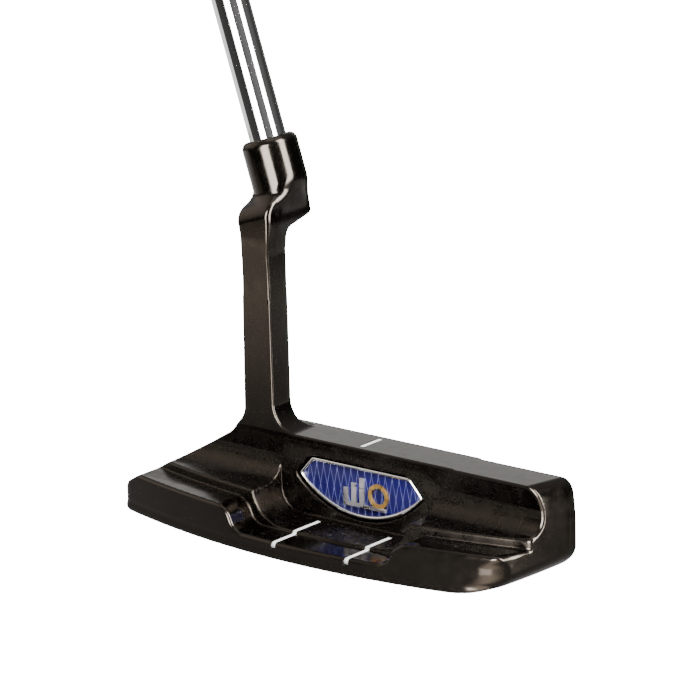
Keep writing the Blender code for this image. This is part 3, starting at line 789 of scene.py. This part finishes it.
def clip_line(start, end, outline):
    """The stretch of a line that lies inside a convex outline that runs anticlockwise, or None."""
    enter, leave = 0.0, 1.0
    direction = end - start
    for i, corner in enumerate(outline):
        edge = outline[i - 1] - corner
        inward = Vector((edge.y, -edge.x))
        depth, rate = inward.dot(start - corner), inward.dot(direction)
        if abs(rate) < 1e-9:
            if depth < 0.0:
                return None
            continue
        meet = -depth / rate
        if rate > 0.0:
            enter = max(enter, meet)
        else:
            leave = min(leave, meet)
    return (start + direction * enter, start + direction * leave) if enter < leave else None


def add_wire(bm, start, end, y, half_width, height):
    """A thin raised wire with a ridge, lying on the plane at depth y."""
    along = (end - start).normalized()
    side = Vector((-along.y, along.x)) * half_width
    loops = []
    for point in (start, end):
        loops.append([(point + side, y), (point, y - height), (point - side, y)])
    rings = [[bm.verts.new(standing([p], depth)[0]) for p, depth in loop] for loop in loops]
    for i in range(3):
        j = (i + 1) % 3
        bm.faces.new((rings[0][i], rings[0][j], rings[1][j], rings[1][i]))
    bm.faces.new(rings[0])
    bm.faces.new(reversed(rings[1]))


def make_lattice(front):
    """Two crossing families of fine silver wires: tall narrow diamonds over the enamel."""
    pitch, lean = 2.2, 1.1 / 5.2
    half_width, height, lift = 0.065, 0.02, 0.005
    outline = [Vector(p) for p in badge_outline(1.1)]
    low, high = BADGE_LOW.z, BADGE_HIGH.z
    middle = 0.5 * (low + high)
    bm = bmesh.new()
    for sign in (-1.0, 1.0):
        for k in range(-11, 12):
            x = k * pitch
            start = Vector((x + sign * lean * (low - middle), low))
            end = Vector((x + sign * lean * (high - middle), high))
            inside = clip_line(start, end, outline)
            if inside and (inside[1] - inside[0]).length > 0.5:
                add_wire(bm, *inside, front + lift, half_width, height)
    lattice = solid_piece("badge_lattice", bm, lattice_silver())
    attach(lattice, "root")


def make_plate():
    """The enamelled plate, with a chamfered front edge."""
    low, high = cad_box("badge_plate")
    back, front = high.y - FACE_Y, low.y - FACE_Y
    loops = [standing(rounded(badge_outline(inset), 0.6), y)
             for inset, y in ((1.08, back), (1.08, front + 0.04), (1.14, front))]
    plate = solid_piece("badge_enamel", loft(loops), blue_enamel())
    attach(plate, "root")
    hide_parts("badge_plate")
    make_lattice(front)


def raised(name, outline, back, front, look):
    """A flat raised mark with chamfered edges, from an outline in X and Z."""
    bm = loft([standing(outline, back), standing(outline, front)])
    edges = [edge for edge in bm.edges if all(v.co.y < (front + FACE_Y + 0.01) * MM for v in edge.verts)]
    bmesh.ops.bevel(bm, geom=edges, offset=0.08 * MM, segments=2, affect="EDGES", profile=0.6)
    return solid_piece(name, bm, look)


def make_emblem():
    """A generic mark: three silver bars on a rail, and a gold ring."""
    low, high = cad_box("badge_emblem")
    back, front = high.y - FACE_Y + 0.28, low.y - FACE_Y
    base, left, right = low.z, low.x, high.x - 0.6
    pitch, width, rail = 2.6, 1.6, 1.0
    comb = [(right, base), (right, base + rail)]
    for k in (2, 1, 0):
        x = left + k * pitch
        top = base + 4.6 + 1.6 * k
        comb += [(x + width, base + rail), (x + width, top), (x, top)]
        comb.append((x, base + rail) if k else (x, base))
    silver = satin_metal("emblem_silver", (0.42, 0.42, 0.44), (0.66, 0.66, 0.68))
    bars = raised("emblem_bars", comb, back, front, silver)
    gold = satin_metal("emblem_gold", (0.55, 0.33, 0.09), (0.78, 0.50, 0.16))
    centre = (high.x - 3.2, base + rail + 2.9)
    outer, inner, chamfer = 3.2, 2.1, 0.08
    profile = [(outer, back), (outer, front + chamfer), (outer - chamfer, front)]
    profile += [(inner + chamfer, front), (inner, front + chamfer), (inner, back)]
    loops = [standing(arc(centre, radius, 0.0, 352.5, 48), y) for radius, y in profile]
    ring = solid_piece("emblem_ring", loft(loops, close=True), gold)
    for piece in (bars, ring):
        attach(piece, "root")
        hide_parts("badge_emblem")


# ---- shaft and grip ------------------------------------------------------------------------------

SHAFT_TIP_RADIUS = 4.7
SHAFT_BUTT_RADIUS = 7.5
SHAFT_WALL = 1.0
SHAFT_STEPS = 11
FIRST_STEP = 190.0
STEP_PITCH = 33.0
STEP_LENGTH = 1.2
GRIP_LENGTH = 265.0
CLUB_TOP = 787.84
CAP_THICKNESS = 4.0


def shaft_profile():
    """The stepped tube's wall: out along its rounded steps, back down its bore."""
    butt = CLUB_TOP - CAP_THICKNESS - 0.5
    bottom = BORE_BOTTOM + 0.4
    radius = SHAFT_TIP_RADIUS
    profile = [(radius - 0.3, bottom), (radius, bottom + 0.3)]
    for k in range(SHAFT_STEPS):
        foot = FIRST_STEP + k * STEP_PITCH
        grown = SHAFT_TIP_RADIUS + (SHAFT_BUTT_RADIUS - SHAFT_TIP_RADIUS) * (k + 1) / SHAFT_STEPS
        for t in (0.0, 0.25, 0.5, 0.75, 1.0):
            profile.append((radius + (grown - radius) * float(ease(t)), foot + STEP_LENGTH * t))
        radius = grown
    inner = radius - SHAFT_WALL
    profile += [(radius, butt), (inner, butt), (inner, FIRST_STEP + STEP_PITCH * SHAFT_STEPS)]
    narrow = SHAFT_TIP_RADIUS - SHAFT_WALL
    return profile + [(narrow, FIRST_STEP), (narrow, bottom)]


def make_shaft():
    """The shaft, and the sleeve of epoxy with its dished top round the tip."""
    shaft = turned_piece("shaft_tube", shaft_profile(), chrome("shaft_chrome"))
    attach(shaft, "root")
    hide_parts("shaft")
    inside, outside = SHAFT_TIP_RADIUS + 0.02, BORE_RADIUS - 0.02
    top, bottom = HOSEL_TOP - 1.0, BORE_BOTTOM + 0.4
    middle = 0.5 * (inside + outside)
    profile = [(inside, bottom), (outside, bottom), (outside, top), (outside - 0.15, top - 0.18)]
    profile += [(middle, top - 0.3), (inside + 0.15, top - 0.18), (inside, top)]
    epoxy = turned_piece("epoxy_sleeve", profile, glue("epoxy", (0.03, 0.028, 0.025), 0.35))
    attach(epoxy, "root")
    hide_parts("hosel_epoxy")


GRIP_SHAPE = (          # mm above the mouth, width, depth without the belly, belly
    (0.0, 20.0, 22.0, 0.0), (12.0, 21.0, 23.0, 0.0), (70.0, 22.5, 24.0, 0.3), (130.0, 24.0, 25.0, 0.8),
    (180.0, 25.5, 26.5, 2.0), (215.0, 27.0, 28.0, 3.6), (240.0, 28.0, 29.0, 4.4), (251.0, 28.0, 29.0, 4.4),
    (260.7, 27.4, 28.4, 4.0),
)


def grip_size(up):
    """The grip's width, depth and belly at a height above its mouth."""
    heights = [row[0] for row in GRIP_SHAPE]
    return [float(np.interp(up, heights, [row[k] for row in GRIP_SHAPE])) for k in (1, 2, 3)]


def grip_loop(up, size, relief=None):
    """One grip outline: flat thumb side towards the toe, round back with a belly."""
    width, depth, belly = size
    loop = []
    for k in range(RING_POINTS):
        turn = 2.0 * math.pi * k / RING_POINTS
        c, s = math.cos(turn), math.sin(turn)
        x = min(0.5 * depth * math.copysign(abs(c) ** 0.9, c), 0.40 * depth)
        x -= belly * abs(c) if c < 0.0 else 0.0
        y = 0.5 * width * math.copysign(abs(s) ** 0.8, s)
        radius = math.hypot(x, y) - (relief(up, k) if relief else 0.0)
        loop.append(on_axis(radius, CLUB_TOP - GRIP_LENGTH + up, math.atan2(y, x)))
    return loop


def grip_relief(up, k):
    """How deep the moulded pattern is: cross ribs on the sides and back, and end bands left plain."""
    if up < 14.0 or up > 250.0:
        return 0.35 if 12.0 < up < 14.0 or 250.0 < up < 252.0 else 0.0
    half_turn = RING_POINTS // 2
    side = (k + half_turn) % RING_POINTS - half_turn
    if abs(side) < 9:
        return 0.0 if (up // 2.2) % 2 or abs(side) > 6 else 0.3
    return 0.3 if ((up // 1.1) + (k // 4)) % 2 else 0.0


def make_grip():
    """The grip, a sleeve with a round bore."""
    bore = SHAFT_BUTT_RADIUS + 1.0
    ups = np.arange(0.0, GRIP_SHAPE[-1][0], 1.1)
    loops = [grip_loop(float(up), grip_size(up), grip_relief) for up in ups]
    top = CLUB_TOP - CAP_THICKNESS - 0.3
    loops += [ring(bore, top), ring(bore, CLUB_TOP - GRIP_LENGTH)]
    grip = solid_piece("grip_sleeve", loft(loops, close=True), rubber("grip_rubber", 900.0), 60.0)
    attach(grip, "root")
    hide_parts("grip")


def make_cap():
    """The end cap: a domed edge, a shallow dish and a vent hole."""
    base = GRIP_LENGTH - CAP_THICKNESS
    sizes = ((0.0, 27.4, 28.4, 4.0), (1.6, 27.3, 28.3, 3.9), (2.8, 26.6, 27.6, 3.7), (3.5, 25.6, 26.6, 3.5),
             (3.95, 24.2, 25.2, 3.3), (4.0, 22.6, 23.6, 3.1))
    loops = [grip_loop(base + up, size) for up, *size in sizes]
    for radius, depth in ((9.0, 0.1), (8.6, 0.5), (3.0, 0.6), (1.5, 0.6), (1.5, CAP_THICKNESS)):
        loops.append(ring(radius, CLUB_TOP - depth))
    cap = solid_piece("butt_cap", loft(loops, close=True), rubber("cap_rubber", 1600.0), 40.0)
    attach(cap, "root")
    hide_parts("grip_end_cap")


def dress_hidden_nodes():
    """The CAD nodes that stay: they sit inside the others."""
    looks = {
        "badge_adhesive": glue("badge_foam_tape", (0.75, 0.74, 0.70), 0.5),
        "face_insert_adhesive": glue("insert_glue", (0.55, 0.50, 0.40), 0.6),
        "grip_tape": glue("grip_tape", (0.72, 0.66, 0.52), 0.8),
    }
    for node, look in looks.items():
        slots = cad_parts[node].data.materials
        slots.clear()
        slots.append(look)


# ---- stage ---------------------------------------------------------------------------------------

WARM_WHITE = (1.0, 0.985, 0.96)
WARM_BROWN = (1.0, 0.90, 0.78)
COOL_GREY = (0.95, 1.0, 0.98)

TARGET = Vector((-6.15, 9.0, 49.23)) * MM
CAMERA_AZIMUTH, CAMERA_ELEVATION, CAMERA_ROLL = (math.radians(a) for a in (39.16, 16.09, -1.22))
CAMERA_DISTANCE = 1.202
FOCAL_LENGTHS_ACROSS = 4812.0 / 700.0            # focal length over the picture's width
SKY_RADIUS = 1.6


def direction(side, elevation):
    """A direction from the object: side is degrees to the right of the camera's own direction."""
    azimuth, tilt = CAMERA_AZIMUTH + math.radians(side), math.radians(elevation)
    level = math.cos(tilt)
    return Vector((math.sin(azimuth) * level, -math.cos(azimuth) * level, math.sin(tilt)))


def make_camera():
    """The photograph's viewpoint."""
    data = bpy.data.cameras.new("camera")
    data.sensor_width = 36.0
    data.lens = data.sensor_width * FOCAL_LENGTHS_ACROSS
    data.clip_start = 0.05
    data.clip_end = 60.0
    back = direction(0.0, math.degrees(CAMERA_ELEVATION))
    right = Vector((math.cos(CAMERA_AZIMUTH), math.sin(CAMERA_AZIMUTH), 0.0))
    up = back.cross(right)
    turned_right = right * math.cos(CAMERA_ROLL) + up * math.sin(CAMERA_ROLL)
    turned_up = up * math.cos(CAMERA_ROLL) - right * math.sin(CAMERA_ROLL)
    camera = bpy.data.objects.new("camera", data)
    camera.matrix_world = Matrix((turned_right, turned_up, back)).transposed().to_4x4()
    camera.location = TARGET + back * CAMERA_DISTANCE
    bpy.context.scene.collection.objects.link(camera)
    bpy.context.scene.camera = camera


def make_floor():
    """A plain, evenly pale floor, just under the sole."""
    look = Look("floor", (0.92, 0.92, 0.92), 0.9)
    look.drive("Base Color", look.blend(look.noise(3.0), (0.90, 0.90, 0.90), (0.93, 0.93, 0.93)))
    look.set("Emission Color", (1.0, 1.0, 1.0, 1.0))
    look.set("Emission Strength", 18.0)
    bm = bmesh.new()
    bmesh.ops.create_grid(bm, x_segments=2, y_segments=2, size=14.0)
    floor = solid_piece("floor", bm, look.material)
    floor.location.z = -0.0002
    floor.visible_glossy = False
    floor.visible_diffuse = False


def make_world():
    """A dark studio that brightens towards the top."""
    world = bpy.data.worlds.new("studio")
    bpy.context.scene.world = world
    world.use_nodes = True
    nodes, links = world.node_tree.nodes, world.node_tree.links
    coordinates = nodes.new("ShaderNodeTexCoord")
    parts = nodes.new("ShaderNodeSeparateXYZ")
    ramp = nodes.new("ShaderNodeValToRGB")
    height = nodes.new("ShaderNodeMapRange")
    height.inputs["From Min"].default_value = -1.0
    links.new(coordinates.outputs["Generated"], parts.inputs[0])
    links.new(parts.outputs["Z"], height.inputs["Value"])
    links.new(height.outputs["Result"], ramp.inputs["Fac"])
    links.new(ramp.outputs["Color"], nodes["Background"].inputs["Color"])
    ramp.color_ramp.elements[0].color = (0.10, 0.097, 0.093, 1.0)
    ramp.color_ramp.elements[1].color = (0.60, 0.58, 0.56, 1.0)
    for where, level in ((0.45, 0.05), (0.55, 0.05), (0.80, 0.30)):
        element = ramp.color_ramp.elements.new(where)
        element.color = (level, 0.97 * level, 0.93 * level, 1.0)


def window(tree, value, start, end):
    """A number that rises from 0 to 1 between start and end, smoothly."""
    made = tree.nodes.new("ShaderNodeMapRange")
    made.interpolation_type = "SMOOTHSTEP"
    made.inputs["From Min"].default_value = start
    made.inputs["From Max"].default_value = end
    tree.links.new(value, made.inputs["Value"])
    return made.outputs["Result"]


def glow(name, strength, soft, tint):
    """Light that adds to what is behind it, and fades in from its left, right, bottom and top edges."""
    made = bpy.data.materials.new(name)
    made.use_nodes = True
    tree = made.node_tree
    tree.nodes.clear()
    parts = tree.nodes.new("ShaderNodeSeparateXYZ")
    tree.links.new(tree.nodes.new("ShaderNodeTexCoord").outputs["UV"], parts.inputs[0])
    across, up = parts.outputs["X"], parts.outputs["Y"]
    left, right, bottom, top = (max(edge, 0.001) for edge in soft)
    edges = ((across, 0.0, left), (across, 1.0, 1.0 - right), (up, 0.0, bottom), (up, 1.0, 1.0 - top))
    level = None
    for value, start, end in edges:
        factor = tree.nodes.new("ShaderNodeMath")
        factor.operation = "MULTIPLY"
        tree.links.new(window(tree, value, start, end), factor.inputs[0])
        if level is None:
            factor.inputs[1].default_value = strength
        else:
            tree.links.new(level, factor.inputs[1])
        level = factor.outputs[0]
    emission = tree.nodes.new("ShaderNodeEmission")
    emission.inputs["Color"].default_value = (*tint, 1.0)
    tree.links.new(level, emission.inputs["Strength"])
    added = tree.nodes.new("ShaderNodeAddShader")
    tree.links.new(emission.outputs[0], added.inputs[0])
    tree.links.new(tree.nodes.new("ShaderNodeBsdfTransparent").outputs[0], added.inputs[1])
    output = tree.nodes.new("ShaderNodeOutputMaterial")
    tree.links.new(added.outputs[0], output.inputs["Surface"])
    made.cycles.emission_sampling = "NONE"
    return made


def glowing_sheet(name, place_at, material):
    """A sheet that only reflections see. place_at gives the point for u and v from 0 to 1."""
    steps = 20
    bm = bmesh.new()
    uv = bm.loops.layers.uv.new("edge_fade")
    rows = []
    for j in range(steps + 1):
        spots = [(i / steps, j / steps) for i in range(steps + 1)]
        rows.append([(bm.verts.new(place_at(*spot)), *spot) for spot in spots])
    for low, high in zip(rows, rows[1:]):
        for i in range(steps):
            corners = (low[i], low[i + 1], high[i + 1], high[i])
            face = bm.faces.new([corner[0] for corner in corners])
            for loop, corner in zip(face.loops, corners):
                loop[uv].uv = corner[1:]
    sheet = solid_piece(name, bm, material)
    sheet.visible_camera = False
    sheet.visible_diffuse = False
    sheet.visible_shadow = False


def sky(name, lower, upper, elevations, strength, soft, tint=WARM_WHITE):
    """A glowing patch of a sphere that only reflections see.

    Lower and upper give the sides that its bottom and top edges run between, in degrees.
    """
    def place_at(u, v):
        left, right = (a + (b - a) * v for a, b in zip(lower, upper))
        elevation = elevations[0] + (elevations[1] - elevations[0]) * v
        return TARGET + SKY_RADIUS * direction(left + (right - left) * u, elevation)

    glowing_sheet(name, place_at, glow(name, strength, soft, tint))


def table(name, sides, radii, strength, soft, tint=WARM_WHITE):
    """A glowing part of a ring on the table, round the origin."""
    def place_at(u, v):
        away = direction(sides[0] + (sides[1] - sides[0]) * u, 0.0)
        return away * (radii[0] + (radii[1] - radii[0]) * v) * MM + Vector((0.0, 0.0, -0.001))

    glowing_sheet(name, place_at, glow(name, strength, soft, tint))


def make_lights():
    """The studio that the metal reflects, and one overhead lamp for the matt surfaces.

    Two tall strips stand beside the camera, with softer patches in the corners below them, a faint
    one in the gap between them, a sweep behind the club, a fill on its heel side and a soft top.
    The table glows in patches too, as a pale table would.
    """
    sky("strip_left", (-41.0, -10.0), (-46.0, -8.0), (-24.0, 34.0), 36.0, (0.30, 0.04, 0.30, 0.2))
    sky("strip_right", (40.0, 73.0), (40.0, 66.0), (-15.0, 36.0), 36.0, (0.04, 0.35, 0.25, 0.1))
    sky("strip_right_top", (41.0, 72.0), (24.0, 78.0), (27.0, 64.0), 36.0, (0.10, 0.3, 0.12, 0.3))
    sky("corner_low", (-48.0, 26.0), (-48.0, 26.0), (-75.0, -13.0), 3.6, (0.35, 0.5, 0.4, 0.2), WARM_BROWN)
    sky("corner_toe", (44.0, 76.0), (44.0, 76.0), (-30.0, -8.0), 0.8, (0.3, 0.4, 0.3, 0.3))
    sky("gap", (-7.0, 38.0), (-7.0, 38.0), (-12.0, 50.0), 0.06, (0.0, 0.0, 0.0, 0.2))
    sky("sweep", (158.0, 204.0), (158.0, 204.0), (4.0, 26.0), 0.72, (0.3, 0.3, 0.3, 0.3))
    sky("sweep_side", (130.0, 262.0), (130.0, 262.0), (-6.0, 34.0), 0.20, (0.15, 0.05, 0.2, 0.3))
    sky("fill_left", (205.0, 300.0), (205.0, 300.0), (-8.0, 66.0), 1.1, (0.35, 0.35, 0.35, 0.5), WARM_BROWN)
    sky("top", (0.0, 360.0), (0.0, 360.0), (60.0, 89.0), 1.2, (0.0, 0.0, 0.5, 0.0))
    table("table_near", (0.0, 360.0), (0.0, 330.0), 0.40, (0.0, 0.0, 0.0, 0.3))
    table("table_heel", (-105.0, -50.0), (90.0, 370.0), 1.9, (0.2, 0.2, 0.7, 0.35), WARM_BROWN)
    table("table_back", (-185.0, -103.0), (220.0, 560.0), 1.2, (0.0, 0.05, 0.2, 0.3))
    table("table_toe", (70.0, 150.0), (100.0, 285.0), 0.55, (0.35, 0.2, 0.6, 0.3), COOL_GREY)
    make_lamp()


def make_lamp():
    """The overhead lamp, which reflections don't see."""
    key = bpy.data.lights.new("overhead", "AREA")
    key.shape = "RECTANGLE"
    key.size, key.size_y = 1.6, 1.2
    key.energy = 125.0
    lamp = bpy.data.objects.new("overhead", key)
    lamp.location = (0.3, -0.7, 1.9)
    lamp.rotation_euler = (Vector(lamp.location) - TARGET).to_track_quat("Z", "Y").to_euler()
    lamp.visible_camera = False
    lamp.visible_glossy = False
    bpy.context.scene.collection.objects.link(lamp)


make_camera()
make_head()
make_lines()
make_insert()
make_bezel()
make_plate()
make_emblem()
make_shaft()
make_grip()
make_cap()
dress_hidden_nodes()
make_floor()
make_world()
make_lights()
